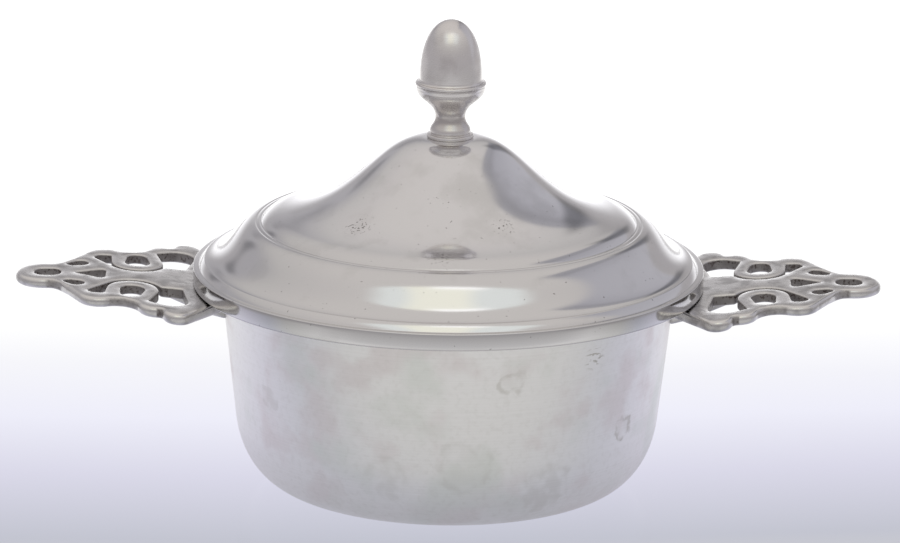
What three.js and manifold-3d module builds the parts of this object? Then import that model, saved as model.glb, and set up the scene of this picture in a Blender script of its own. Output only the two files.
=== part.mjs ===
// Covered pewter porringer: a bowl with two flat pierced ears and a lift-off domed cover with an acorn knob.
// Millimetres, +Z up. The origin is the centre of the flat base, and the ears lie along X.
import * as THREE from 'three';
import { mergeVertices } from 'three/addons/utils/BufferGeometryUtils.js';
import Module from 'manifold-3d';

const wasm = await Module();
wasm.setup();

// Clearances
const seatGap = 0.3; // between pieces that rest on, or are soldered to, each other
const slideGap = 0.5; // between the cover's collar and the mouth of the bowl

// Bowl
const rimHeight = 61.7;
const mouthRadius = 66.9; // outside of the wall at the rim
const baseRadius = 44; // flat part that the bowl stands on
const wallLean = 0.114; // how far the wall leans out for each millimetre of height
const cornerHeight = 21; // height at which the rounded lower corner becomes the straight wall
const cornerPower = 2.2; // superellipse exponent of that corner
const bowlWall = 2;
const lipWidth = 2.4; // everted lip, beyond the wall
const lipThickness = 1.5;

// Cover
const skirtOverhang = 8.1; // beyond the bowl's wall at the rim
const skirtRadius = mouthRadius + skirtOverhang;
const skirtHeight = 4.9; // vertical band, from its free edge up to the ledge
const skirtWall = 1.8;
const skirtEdgeRadius = 0.7;
const coverWall = 1.8;
const crownHeight = 44; // top of the cover above the skirt's free edge
const crownFlat = 7; // radius of the flat that carries the knob
const crownSwell = 15.9; // how far the top stays level beyond the flat before it falls away
const shoulderHeight = 20; // outer edge of the shelf at the foot of the crown
const shoulderRadius = 56.6;
const shoulderSpring = 27; // how far the shelf runs in under the slope
const shoulderFall = 1.3; // over that length
const grooveDepth = 0.5; // fine turned groove just inside that edge
const grooveWidth = 0.8;
const ogeeHeight = 7.2; // where the roll and cove below the shelf end
const ogeeRoll = 4; // length of the convex pull at the top of the ogee
const ogeeCove = 6; // length of the concave pull at its foot
const beadHeight = 2.1; // face of the small bead above the ledge
const beadOverhang = 0.6;
const ledgeWidth = 1.8; // flat between the bead and the skirt's face
const ogeeRadius = skirtRadius - ledgeWidth - beadOverhang;
const stepDepth = 3; // inside step that the locating ring seats against, above the free edge
const stepWidth = 1.9;
const stepRadius = skirtRadius - skirtWall - stepWidth;

// Locating ring inside the cover
const flangeThickness = 1.2;
const collarThickness = 1.4;
const collarDepth = 7.5; // reach of the collar below the bowl's rim

// Knob
const footRadius = 6.85;
const footHeight = 1;
const bulbRadius = 6;
const bulbHeight = 1.7;
const bulbSwell = 2; // how far the bulb's side stays upright
const neckRadius = 4.4;
const neckHeight = 6.2;
const neckStraight = 0.6; // upright part of the neck
const neckPull = 2.5; // length of the curve that leads into the neck
const cupPull = 4.1; // length of the curve that leaves the neck
const cupFlare = 3.3; // height over which the cup turns upright
const cupRadius = 10.1;
const cupHeight = 14.6;
const cupRingRadius = 10.4;
const cupRingThickness = 1.1;
const acornRadius = 9.2;
const acornBase = 17;
const acornFullness = 0.67; // share of the acorn's height that stays nearly upright
const acornBluntness = 0.55; // share of its radius that stays nearly level at the top
const knobHeight = 35.1;

// Screw that holds the knob
const screwRadius = 1.5;
const screwReach = 8; // into the knob, above the top of the cover
const screwHeadRadius = 3;
const screwHeadHeight = 2;
const screwSlotWidth = 0.8;
const screwSlotDepth = 0.9;
const washerRadius = 5;
const washerThickness = 1;

// Ears: plan sizes are taken out from the skirt and across from the ear's centre line
const earThickness = 3.3;
const earDrop = 0.45; // top of the ear below the skirt's free edge, at the skirt
const earRise = 0.04; // rise for each millimetre outwards
const earEdge = 0.55; // rounding along every edge
const earReach = 52.1;
const tipRadius = 8.3;
const notchRadius = 5; // hollow between the tip and the bud
const budRadius = 4; // small lobe round the almond hole
const budStation = 34.4;
const budAcross = 9.3;
const sideLobeHalfWidth = 24.6;
const sideLobeRadius = 6.4;
const sideLobeStation = 26.8;
const waistRadius = 6.2; // hollow between the side lobe and the inner lobe
const innerLobeHalfWidth = 30;
const innerLobeRadius = 4.8;
const innerLobeStation = 10.2;
const creaseRadius = 1.2; // hollow between the inner lobe and the shoulder lobe
const shoulderLobeHalfWidth = 34.6;
const shoulderLobeRadius = 4.4;
const shoulderLobeStation = 3.2;
const rootSlope = 0.63; // how fast the root narrows towards the bowl
const rootBury = 12; // how far the root is drawn past the bowl's wall before it is cut to fit
const rootCorner = 1;

// Piercings of an ear
const voluteStation = 17.1; // centre of the hanging loop
const voluteAcross = 13.1;
const voluteRadius = 7.6;
const voluteEyeRadius = 3.6;
const voluteEyeLength = 4.2;
const voluteEyeNarrowing = 0.6; // towards the outline of the ear
const voluteEyeLean = 0.3; // outwards, over that length
const slotWidth = 1.2; // between the loop and the tongue
const tongueHalfWidth = 9.3;
const tongueCornerRadius = 1;
const windowStart = 0.6; // inner side of the window, out from the skirt
const windowFrame = 8.4; // metal between the window and the ear's outline
const windowRadius = 5;
const windowLean = 2; // how far the window's inner side leans out towards the tongue
const windowTailStation = 11; // rounded outer corner of the window
const windowTailDrop = 2.4; // that corner, in from the window's far side
const cornerRadius = 0.8;
const commaRadius = 2.3;
const commaShift = 1.7; // centre of its round end, out from the slot
const commaTop = 18.6;
const teardropStart = 25.8;
const teardropPoint = 34.5;
const teardropHalfWidth = 4;
const teardropCorner = 1.4;
const teardropTip = 0.5;
const almondRadius = 2.1;
const almondTailRadius = 1.3;
const almondInset = 0.7; // in from the middle of the bud, both ways
const almondReach = 2.3; // its tail, outwards and towards the centre line
const almondFall = 1.4;
const tipHoleStart = 38.8;
const tipHoleEnd = 46.7;
const tipHoleHalfWidth = 3.5;
const tipHoleCorner = 1.6;

// Bracket cast under each ear's root
const bracketHalfWidth = 8.6;
const bracketDepth = 9.9; // below the skirt's free edge, at the bowl's wall
const bracketNoseDepth = 8.7; // at its outer lower corner
const bracketNose = 4; // that corner, in from the skirt
const bracketReach = 9; // where it meets the underside of the ear, out from the skirt
const bracketTaper = 0.02; // narrowing for each millimetre outwards
const bracketEdge = 0.8;

// Fineness of the facets
const roundSteps = 48;
const smallSteps = 24;
const chordError = 0.09;

// Heights that follow from the sizes above
const flangeBottom = rimHeight + seatGap;
const skirtPlane = flangeBottom + flangeThickness + seatGap - stepDepth;
const crownPlane = skirtPlane + crownHeight;

// Points along a curve, from its start to its end
function along(curve, steps) {
  return curve.getPoints(steps);
}

// Bezier curve from four corner points
function bezier(a, b, c, d) {
  return new THREE.CubicBezierCurve(
    new THREE.Vector2(...a), new THREE.Vector2(...b), new THREE.Vector2(...c), new THREE.Vector2(...d));
}

// Points of an arc about a centre, angles in degrees
function arc(x, y, radius, from, to, steps) {
  return Array.from({ length: steps + 1 }, (_, i) => {
    const angle = THREE.MathUtils.degToRad(from + (to - from) * i / steps);
    return new THREE.Vector2(x + radius * Math.cos(angle), y + radius * Math.sin(angle));
  });
}

function point(x, y) {
  return new THREE.Vector2(x, y);
}

// A curve moved sideways, to the left of its direction, by a distance at right angles to it
function offset(points, distance) {
  return points.map((p, i) => {
    const before = points[Math.max(i - 1, 0)];
    const after = points[Math.min(i + 1, points.length - 1)];
    const direction = after.clone().sub(before).normalize();
    return point(p.x - direction.y * distance, p.y + direction.x * distance);
  });
}

// Solid of revolution about Z. The profile runs up the outside and down the inside.
function revolve(points, steps) {
  const geometry = new THREE.LatheGeometry(points, steps);
  geometry.rotateX(Math.PI / 2);
  return geometry;
}

// Closed ring profile, first point repeated
function ring(points, steps) {
  return revolve([...points, points[0].clone()], steps);
}

// Geometry to manifold solid, with shared vertices merged and flat slivers at the poles left out
function toSolid(geometry) {
  const bare = geometry.clone();
  bare.deleteAttribute('normal');
  bare.deleteAttribute('uv');
  const merged = mergeVertices(bare, 1e-4);
  const index = merged.index.array;
  const kept = [];
  for (let i = 0; i < index.length; i += 3) {
    const [a, b, c] = index.slice(i, i + 3);
    if (a !== b && b !== c && c !== a) kept.push(a, b, c);
  }
  return new wasm.Manifold(new wasm.Mesh({
    numProp: 3,
    vertProperties: Float32Array.from(merged.attributes.position.array),
    triVerts: Uint32Array.from(kept),
  }));
}

function fromSolid(solid) {
  const mesh = solid.getMesh();
  const geometry = new THREE.BufferGeometry();
  geometry.setAttribute('position', new THREE.BufferAttribute(mesh.vertProperties, 3));
  geometry.setIndex(new THREE.BufferAttribute(mesh.triVerts, 1));
  geometry.computeVertexNormals();
  return geometry;
}

// A belt drawn round circles. Each circle is [x, y, radius, turn]: turn 1 leaves it on the left, as a lobe of a
// path that runs anticlockwise, and turn -1 leaves it on the right, as a hollow. Straight stretches are tangents.
// A turn that comes out just below none stays a short arc, so that lobes in line need no exact fit.
function belt(circles) {
  const normals = circles.map(([x, y, radius, turn], i) => {
    const [nextX, nextY, nextRadius, nextTurn] = circles[(i + 1) % circles.length];
    const heading = Math.atan2(nextY - y, nextX - x);
    const ratio = (turn * radius - nextTurn * nextRadius) / Math.hypot(nextX - x, nextY - y);
    return heading - Math.acos(THREE.MathUtils.clamp(ratio, -1, 1));
  });
  return circles.flatMap(([x, y, radius, turn], i) => {
    const arrive = normals[(i + circles.length - 1) % circles.length];
    const leave = normals[i];
    const least = -Math.PI / 2;
    const sweep = turn * (THREE.MathUtils.euclideanModulo(turn * (leave - arrive) - least, 2 * Math.PI) + least);
    const finest = 2 * Math.acos(1 - Math.min(chordError / radius, 0.5));
    const steps = Math.max(1, Math.ceil(Math.abs(sweep) / finest));
    return Array.from({ length: steps + 1 }, (_, k) => {
      const angle = arrive + sweep * k / steps;
      return point(x + turn * radius * Math.cos(angle), y + turn * radius * Math.sin(angle));
    });
  });
}

// The hollow between two lobes: a circle that touches both, on the right of the way from one to the other
function hollow([fromX, fromY, fromRadius], [toX, toY, toRadius], radius) {
  const apart = Math.hypot(toX - fromX, toY - fromY);
  const near = fromRadius + radius;
  const far = toRadius + radius;
  const ahead = (near ** 2 - far ** 2 + apart ** 2) / (2 * apart);
  const aside = Math.sqrt(Math.max(near ** 2 - ahead ** 2, 0));
  const [x, y] = [(toX - fromX) / apart, (toY - fromY) / apart];
  return [fromX + x * ahead + y * aside, fromY + y * ahead - x * aside, radius, -1];
}

// The same circles on the other side of the centre line, in the order that keeps the path's direction
function mirrored(circles) {
  return circles.map(([x, y, radius, turn]) => [x, -y, radius, turn]).reverse();
}

// Bowl: flat base, superellipse corner and straight wall, all leaning out at one rate
function bowlOutside(top) {
  const cornerWidth = mouthRadius - wallLean * rimHeight - baseRadius;
  const cornerSteps = 8;
  const corner = Array.from({ length: cornerSteps + 1 }, (_, i) => {
    const angle = Math.PI / 2 * i / cornerSteps;
    const height = cornerHeight * (1 - Math.cos(angle) ** (2 / cornerPower));
    const width = cornerWidth * Math.sin(angle) ** (2 / cornerPower);
    return point(baseRadius + width + wallLean * height, height);
  });
  return [...corner, point(mouthRadius - wallLean * (rimHeight - top), top)];
}

function bowlGeometry() {
  const lipRadius = lipThickness / 2;
  const lipCentre = mouthRadius + lipWidth - lipRadius;
  const outside = bowlOutside(rimHeight - lipThickness);
  const inside = offset([point(0, 0), ...bowlOutside(rimHeight)], bowlWall).reverse();
  inside[0].y = rimHeight;
  return revolve([
    point(0, 0),
    ...outside,
    ...arc(lipCentre, rimHeight - lipRadius, lipRadius, -90, 90, 5),
    ...inside,
  ], roundSteps);
}

// Inside radius of the bowl's wall at a height above the corner
function bowlInsideRadius(height) {
  return mouthRadius - wallLean * (rimHeight - height) - bowlWall * Math.hypot(1, wallLean);
}

// Cover: crown, shelf with a fine groove, ogee of roll and cove, bead, ledge and vertical skirt
function crownCurve() {
  const shelfEnd = shoulderRadius - 2 * grooveWidth;
  return bezier([crownFlat, crownHeight], [crownFlat + crownSwell, crownHeight],
    [shelfEnd - shoulderSpring, shoulderHeight + shoulderFall], [shelfEnd, shoulderHeight]);
}

function ogeeCurve() {
  const start = [shoulderRadius, shoulderHeight - grooveDepth];
  const end = [ogeeRadius, ogeeHeight];
  return bezier(start, [start[0] + ogeeRoll, start[1] - ogeeRoll / 4], [end[0] - ogeeCove, end[1] + ogeeCove / 15], end);
}

function coverGeometry() {
  const boreRadius = screwRadius + seatGap;
  const beadBottom = ogeeHeight - beadHeight;
  const outside = [
    point(boreRadius, crownHeight),
    ...along(crownCurve(), 10),
    point(shoulderRadius - 1.5 * grooveWidth, shoulderHeight - grooveDepth),
    point(shoulderRadius - grooveWidth, shoulderHeight),
    ...along(ogeeCurve(), 7),
    point(ogeeRadius + beadOverhang / 2, ogeeHeight - beadOverhang / 4),
    point(ogeeRadius + beadOverhang, ogeeHeight - beadOverhang),
    point(ogeeRadius + beadOverhang, beadBottom),
    ...arc(skirtRadius - skirtEdgeRadius, skirtHeight - skirtEdgeRadius, skirtEdgeRadius, 90, 0, 3),
    point(skirtRadius, skirtEdgeRadius / 2),
    point(skirtRadius - skirtEdgeRadius / 2, 0),
    point(skirtRadius - skirtWall, 0),
  ];
  const underside = offset([
    point(boreRadius, crownHeight),
    ...along(crownCurve(), 6),
    ...along(ogeeCurve(), 4),
  ], -coverWall);
  const inside = [
    ...underside.filter((p) => p.x < stepRadius),
    point(stepRadius, ogeeHeight - coverWall),
    point(stepRadius, stepDepth),
    point(skirtRadius - skirtWall, stepDepth),
  ];
  return ring([...outside.reverse(), ...inside], roundSteps);
}

// Locating ring: a flange that rests on the lip and a collar that drops into the mouth. Heights from the skirt plane.
function bezelGeometry() {
  const bottom = flangeBottom - skirtPlane;
  const top = bottom + flangeThickness;
  const collarBottom = rimHeight - collarDepth - skirtPlane;
  const collarRadius = bowlInsideRadius(rimHeight - collarDepth) - slideGap;
  const rimOutside = skirtRadius - skirtWall - seatGap;
  return ring([
    point(collarRadius - collarThickness, collarBottom),
    point(collarRadius - collarThickness / 3, collarBottom),
    point(collarRadius, collarBottom + collarThickness / 2),
    point(collarRadius, bottom),
    point(rimOutside, bottom),
    point(rimOutside, top),
    point(collarRadius - collarThickness, top),
  ], roundSteps);
}

// Knob: foot ring, bulb, neck, flaring cup with its ring, and the acorn. Heights from the top of the cover.
function finialGeometry() {
  const boreRadius = screwRadius + seatGap;
  const boreTop = screwReach + 2 * seatGap;
  const ringRadius = cupRingThickness / 2;
  const ringHeight = (cupHeight + acornBase) / 2 + ringRadius / 2;
  const acornHeight = knobHeight - acornBase;
  return revolve([
    point(0, boreTop),
    point(boreRadius, boreTop),
    point(boreRadius, seatGap),
    point(footRadius, seatGap),
    point(footRadius, footHeight),
    point(bulbRadius, footHeight + seatGap / 3),
    ...along(bezier([bulbRadius, bulbHeight], [bulbRadius, bulbHeight + bulbSwell],
      [neckRadius, neckHeight - neckPull], [neckRadius, neckHeight - neckStraight]), 5),
    ...along(bezier([neckRadius, neckHeight], [neckRadius, neckHeight + cupPull],
      [cupRadius - seatGap, cupHeight - cupFlare], [cupRadius, cupHeight]), 7),
    ...arc(cupRingRadius - ringRadius, ringHeight, ringRadius, -70, 90, 4),
    ...along(bezier([acornRadius, acornBase], [acornRadius, acornBase + acornFullness * acornHeight],
      [acornBluntness * acornRadius, knobHeight], [0, knobHeight]), 10),
  ], smallSteps);
}

// Washer and screw under the crown. Heights from the top of the cover, downwards.
const washerTop = -coverWall - seatGap;
const headTop = washerTop - washerThickness - seatGap;

function washerGeometry() {
  const holeRadius = screwRadius + seatGap;
  return ring([
    point(holeRadius, washerTop - washerThickness),
    point(washerRadius, washerTop - washerThickness),
    point(washerRadius, washerTop),
    point(holeRadius, washerTop),
  ], smallSteps);
}

function screwGeometry() {
  const bottom = headTop - screwHeadHeight;
  const body = revolve([
    point(0, bottom),
    ...along(bezier([screwHeadRadius * 0.7, bottom], [screwHeadRadius * 0.95, bottom],
      [screwHeadRadius, bottom + screwHeadHeight / 2], [screwHeadRadius, headTop]), 4),
    point(screwRadius, headTop),
    point(screwRadius, screwReach - screwRadius / 3),
    point(screwRadius * 2 / 3, screwReach),
    point(0, screwReach),
  ], smallSteps);
  const slot = new THREE.BoxGeometry(3 * screwHeadRadius, screwSlotWidth, 2 * screwSlotDepth);
  slot.translate(0, 0, bottom);
  return fromSolid(toSolid(body).subtract(toSolid(slot)));
}

// Ear outline: lobes and hollows of one side, from the tip to the root
function earOutline() {
  const tip = [earReach - tipRadius, 0, tipRadius, 1];
  const bud = [budStation, budAcross, budRadius, 1];
  const sideLobe = [sideLobeStation, sideLobeHalfWidth - sideLobeRadius, sideLobeRadius, 1];
  const innerLobe = [innerLobeStation, innerLobeHalfWidth - innerLobeRadius, innerLobeRadius, 1];
  const shoulder = [shoulderLobeStation, shoulderLobeHalfWidth - shoulderLobeRadius, shoulderLobeRadius, 1];
  const rootStation = skirtRadius - mouthRadius + rootBury;
  const side = [
    hollow(tip, bud, notchRadius),
    bud,
    sideLobe,
    hollow(sideLobe, innerLobe, waistRadius),
    innerLobe,
    hollow(innerLobe, shoulder, creaseRadius),
    shoulder,
    [-rootStation, shoulderLobeHalfWidth - rootSlope * (rootStation + shoulderLobeStation), rootCorner, 1],
  ];
  return belt([tip, ...side, ...mirrored(side)]);
}

// One side's window, slot round the loop, and comma-shaped hole, which run into each other
function windowOutline() {
  const windowTop = shoulderLobeHalfWidth - windowFrame;
  const slotRadius = voluteRadius + slotWidth;
  const cornerAcross = tongueHalfWidth - tongueCornerRadius;
  const rise = voluteAcross - cornerAcross;
  const cornerStation = voluteStation - Math.sqrt((slotRadius + tongueCornerRadius) ** 2 - rise ** 2);
  const commaStation = voluteStation + slotRadius + commaShift;
  return belt([
    [windowStart + windowLean + cornerRadius, tongueHalfWidth + cornerRadius, cornerRadius, 1],
    [cornerStation, cornerAcross, tongueCornerRadius, -1],
    [voluteStation, voluteAcross, slotRadius, 1],
    [commaStation, commaTop - commaRadius, commaRadius, 1],
    [voluteStation + slotRadius, commaTop - cornerRadius, cornerRadius, 1],
    [voluteStation, voluteAcross, voluteRadius, -1],
    [windowTailStation, windowTop - windowTailDrop - cornerRadius, cornerRadius, 1],
    [windowStart + windowRadius, windowTop - windowRadius, windowRadius, 1],
  ]);
}

function voluteEye() {
  return belt([
    [voluteStation, voluteAcross, voluteEyeRadius, 1],
    [voluteStation + voluteEyeLean, voluteAcross + voluteEyeLength, voluteEyeRadius - voluteEyeNarrowing, 1],
  ]);
}

function almondHole() {
  return belt([
    [budStation - almondInset, budAcross + almondInset / 2, almondRadius, 1],
    [budStation - almondInset + almondReach, budAcross + almondInset / 2 - almondFall, almondTailRadius, 1],
  ]);
}

function teardropHole() {
  const across = teardropHalfWidth - teardropCorner;
  return belt([
    [teardropStart + teardropCorner, across, teardropCorner, 1],
    [teardropStart + teardropCorner, -across, teardropCorner, 1],
    [teardropPoint - teardropTip, 0, teardropTip, 1],
  ]);
}

function tipHole() {
  const across = tipHoleHalfWidth - tipHoleCorner;
  const near = tipHoleStart + tipHoleCorner;
  const far = tipHoleEnd - tipHoleCorner;
  return belt([
    [far, across, tipHoleCorner, 1],
    [near, across, tipHoleCorner, 1],
    [near, -across, tipHoleCorner, 1],
    [far, -across, tipHoleCorner, 1],
  ]);
}

// The flat pierced plate, rounded along its edges, tilted up towards its tip and set under the skirt
function earPlate() {
  const plan = new THREE.Shape(earOutline());
  const sided = [windowOutline, voluteEye, almondHole].flatMap((hole) => {
    const points = hole();
    return [points, points.map((p) => point(p.x, -p.y))];
  });
  plan.holes = [...sided, teardropHole(), tipHole()].map((points) => new THREE.Path(points));
  const plate = new THREE.ExtrudeGeometry(plan, {
    depth: earThickness - 2 * earEdge,
    bevelThickness: earEdge,
    bevelSize: earEdge,
    bevelOffset: -earEdge,
    bevelSegments: 1,
    curveSegments: 1,
  });
  plate.translate(0, 0, earEdge - earThickness);
  plate.rotateY(-Math.atan(earRise));
  plate.translate(skirtRadius, 0, skirtPlane - earDrop);
  return plate;
}

// Wedge bracket under the root, narrowing outwards, its top buried in the plate
function earBracket() {
  const buried = earDrop + earThickness / 2;
  const inner = mouthRadius - skirtRadius - rootBury;
  const side = new THREE.Shape([
    point(inner, -buried),
    point(inner, -bracketDepth),
    point(mouthRadius - skirtRadius, -bracketDepth),
    point(-bracketNose, -bracketNoseDepth),
    point(bracketReach, -earDrop - earThickness),
    point(bracketReach, -buried),
  ]);
  const wedge = new THREE.ExtrudeGeometry(side, {
    depth: 2 * (bracketHalfWidth - bracketEdge),
    bevelThickness: bracketEdge,
    bevelSize: bracketEdge,
    bevelOffset: -bracketEdge,
    bevelSegments: 1,
  });
  wedge.translate(0, 0, bracketEdge - bracketHalfWidth);
  wedge.rotateX(Math.PI / 2);
  const position = wedge.attributes.position;
  for (let i = 0; i < position.count; i += 1) {
    position.setY(i, position.getY(i) * (1 - bracketTaper * (position.getX(i) - inner)));
  }
  wedge.translate(skirtRadius, 0, skirtPlane);
  return wedge;
}

// Space that the bowl takes up, with the solder gap round it
function bowlClearance() {
  const above = rimHeight + crownHeight;
  const wall = offset(bowlOutside(above), -seatGap);
  return revolve([point(0, -seatGap), ...wall, point(0, above)], roundSteps);
}

function earGeometry() {
  return fromSolid(toSolid(earPlate()).add(toSolid(earBracket())).subtract(toSolid(bowlClearance())));
}

// Finishes: one metal, worn to different greys
function pewter(color, roughness) {
  return new THREE.MeshStandardMaterial({ color, roughness, metalness: 1 });
}

function steel() {
  return new THREE.MeshStandardMaterial({ color: 0x8e9093, roughness: 0.35, metalness: 1 });
}

function piece(name, geometry, material) {
  const mesh = new THREE.Mesh(geometry, material);
  mesh.name = name;
  return mesh;
}

// Assembly
const porringer = new THREE.Group();

const bowl = piece('bowl', bowlGeometry(), pewter(0xc4c4c4, 0.4));
const ear = earGeometry();
const earRight = piece('ear_right', ear, pewter(0xa8a6a4, 0.5));
const earLeft = piece('ear_left', ear.clone(), pewter(0xa8a6a4, 0.5));
earLeft.rotation.z = Math.PI;

const coverGroup = new THREE.Group();
coverGroup.position.z = skirtPlane;
coverGroup.add(
  piece('cover', coverGeometry(), pewter(0xc9cacf, 0.25)),
  piece('cover_bezel', bezelGeometry(), pewter(0xb5b5b3, 0.45)),
);

const knobGroup = new THREE.Group();
knobGroup.position.z = crownPlane;
knobGroup.add(
  piece('acorn_finial', finialGeometry(), pewter(0xa9a7a4, 0.35)),
  piece('finial_washer', washerGeometry(), steel()),
  piece('finial_screw', screwGeometry(), steel()),
);

porringer.add(bowl, earRight, earLeft, coverGroup, knobGroup);

export default porringer;
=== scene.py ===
"""Covered pewter porringer: a turned bowl with two flat pierced ears and a lift-off domed cover with an acorn knob.

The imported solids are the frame. Every piece here is drawn in metres in the same place as its solid.
"""

import math

import bpy
import numpy as np
from bpy.props import FloatProperty, FloatVectorProperty, PointerProperty
from bpy.types import Operator, Panel, PropertyGroup
from mathutils import Matrix, Vector
from mathutils.geometry import delaunay_2d_cdt


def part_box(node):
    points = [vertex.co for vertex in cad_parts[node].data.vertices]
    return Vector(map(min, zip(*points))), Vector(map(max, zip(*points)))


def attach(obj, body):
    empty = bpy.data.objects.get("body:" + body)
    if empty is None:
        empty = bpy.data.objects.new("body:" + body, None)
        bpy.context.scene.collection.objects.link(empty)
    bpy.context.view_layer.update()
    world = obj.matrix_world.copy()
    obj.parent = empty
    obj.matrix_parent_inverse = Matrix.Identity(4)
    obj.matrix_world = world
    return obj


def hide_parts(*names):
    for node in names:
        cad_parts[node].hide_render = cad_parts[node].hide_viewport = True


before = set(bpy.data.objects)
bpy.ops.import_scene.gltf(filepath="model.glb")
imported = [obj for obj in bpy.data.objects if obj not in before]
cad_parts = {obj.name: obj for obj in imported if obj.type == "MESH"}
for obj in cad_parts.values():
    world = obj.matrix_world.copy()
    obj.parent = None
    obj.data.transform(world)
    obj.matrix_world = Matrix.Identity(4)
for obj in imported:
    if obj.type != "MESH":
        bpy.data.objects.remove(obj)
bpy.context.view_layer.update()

bl_info = {
    "name": "Covered porringer",
    "version": (1, 0, 0),
    "blender": (4, 5, 0),
    "location": "3D View > Sidebar > Porringer",
    "description": "Draws a covered pewter porringer piece by piece, with its studio",
    "category": "Add Mesh",
}

MM = 0.001
BOWL_BODY = "bowl_body"
COVER_BODY = "cover_body"
SKIRT_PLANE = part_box("cover")[0][2]
RIM_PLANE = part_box("bowl")[1][2]
STRETCH = 1.2 * MM  # longest straight stretch of a turned profile
WIDE_ROUND, SLIM_ROUND = 240, 128  # points round the cover and the bowl, and round the knob
SEAT_GAP, SLIDE_GAP = 0.3 * MM, 0.5 * MM  # ring to lip and skirt, and collar to mouth
CROWN_BORE = 1.8 * MM  # radius of the hole under the knob
LOBE, HOLLOW = 1, -1  # side on which a closed line keeps a circle: left for a lobe, right for a hollow


def linear(code):
    """The linear red, green and blue of an sRGB hex colour."""
    parts = np.array([int(code[i:i + 2], 16) for i in (1, 3, 5)]) / 255
    return tuple(np.where(parts <= 0.04045, parts / 12.92, ((parts + 0.055) / 1.055) ** 2.4).tolist())


def length(name, description, millimetres):
    """A size property. Its default is given in millimetres and kept in metres."""
    size = millimetres * MM
    return FloatProperty(name=name, description=description, default=size, min=0, unit="LENGTH", precision=5)


def ratio(name, description, value, least, most):
    """A property without a unit, between two limits."""
    return FloatProperty(name=name, description=description, default=value, min=least, max=most)


def bearing(name, description, degrees):
    """An angle property. Its default is given in degrees and kept in radians."""
    return FloatProperty(name=name, description=description, default=math.radians(degrees), subtype="ANGLE")


def share(name, description, value):
    """A property without a unit, from 0 to 1."""
    return FloatProperty(name=name, description=description, default=value, min=0, max=1, subtype="FACTOR")


def tint(name, description, code):
    """A colour property, its default an sRGB hex value."""
    return FloatVectorProperty(name=name, description=description, default=linear(code), min=0, max=1, subtype="COLOR")


# Sizes and colours

class BowlSizes(PropertyGroup):
    mouth_radius: length("Mouth radius", "Outside of the wall at the rim", 66.9)
    base_radius: length("Base radius", "Flat part that the bowl stands on", 44)
    wall_lean: share("Wall lean", "How far the wall leans out for its height", 0.114)
    corner_height: length("Corner height", "Where the rounded corner becomes the wall", 21)
    corner_power: ratio("Corner fullness", "Superellipse power of the corner", 2.2, 1.5, 4)
    wall: length("Wall", "Thickness of the bowl", 2)
    lip_width: length("Lip width", "Everted lip beyond the wall", 2.4)
    lip_thickness: length("Lip thickness", "Thickness of that lip", 1.5)


class CoverSizes(PropertyGroup):
    skirt_radius: length("Skirt radius", "Outside of the upright band", 75)
    skirt_height: length("Skirt height", "Upright band up to the ledge", 4.9)
    skirt_wall: length("Skirt wall", "Thickness of that band", 1.8)
    wall: length("Wall", "Thickness of the cover", 1.8)
    crown_height: length("Crown height", "Top of the cover above its free edge", 44)
    crown_flat: length("Crown flat", "Radius of the flat under the knob", 7)
    crown_swell: length("Crown swell", "How far the top stays level beyond the flat", 14.8)
    shelf_radius: length("Shelf radius", "Where the dome has become the shelf", 49.5)
    shelf_height: length("Shelf height", "Height of that place", 20.88)
    shelf_pull: length("Shelf pull", "How far the shelf runs in under the dome", 22.72)
    shelf_fall: share("Shelf fall", "Fall of the shelf for its length outwards", 0.17)
    groove_radius: length("Groove radius", "Fine turned groove at the shelf's rounded edge", 55.05)
    groove_height: length("Groove height", "Bottom of that groove", 18.2)
    shoulder_radius: length("Shoulder radius", "Second groove, under the roll", 56.5)
    shoulder_height: length("Shoulder height", "Bottom of that groove", 18.04)
    ogee_radius: length("Ogee radius", "Where the cove ends", 71.6)
    ogee_height: length("Ogee height", "Height of that end", 7)
    ogee_roll: length("Ogee roll", "Pull of the convex part", 6)
    ogee_cove: length("Ogee cove", "Pull of the concave part", 5.8)
    bead_radius: length("Bead radius", "Foot of the sloping bead, where the ledge begins", 73.3)
    step_depth: length("Step depth", "Inside step above the free edge", 3)
    step_radius: length("Step radius", "Radius of that step", 71.3)
    ring_flange: length("Ring flange", "Thickness of the locating ring's flange", 1.2)
    ring_collar: length("Ring collar", "Thickness of the collar", 1.4)
    ring_depth: length("Ring depth", "Reach of the collar into the bowl", 7.5)


class KnobSizes(PropertyGroup):
    foot_radius: length("Foot radius", "Ring that stands on the cover", 6.85)
    foot_height: length("Foot height", "Height of that ring", 1)
    bulb_radius: length("Bulb radius", "Swelling above the foot", 6)
    bulb_height: length("Bulb height", "Where the bulb is widest", 1.7)
    bulb_swell: length("Bulb swell", "How far its side stays upright", 2)
    neck_radius: length("Neck radius", "Narrowest part", 4.4)
    neck_height: length("Neck height", "Where the neck is narrowest", 6.2)
    neck_pull: length("Neck pull", "Curve that leads into the neck", 2.5)
    cup_pull: length("Cup pull", "Curve that leaves the neck", 4.1)
    cup_flare: length("Cup flare", "Height over which the cup turns upright", 3.3)
    cup_radius: length("Cup radius", "Cup below its ring", 10.1)
    cup_height: length("Cup height", "Foot of its ring", 14.6)
    cup_ring_radius: length("Cup ring radius", "Outside of the ring", 10.4)
    cup_ring: length("Cup ring", "Thickness of the ring", 1.1)
    acorn_radius: length("Acorn radius", "Widest part of the acorn", 9.2)
    acorn_base: length("Acorn base", "Where the acorn leaves the cup", 17)
    acorn_fullness: share("Acorn fullness", "Share of its height that stays nearly upright", 0.67)
    acorn_bluntness: share("Acorn bluntness", "Share of its radius that stays nearly level", 0.55)
    height: length("Knob height", "From the cover to the tip", 35.1)


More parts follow.
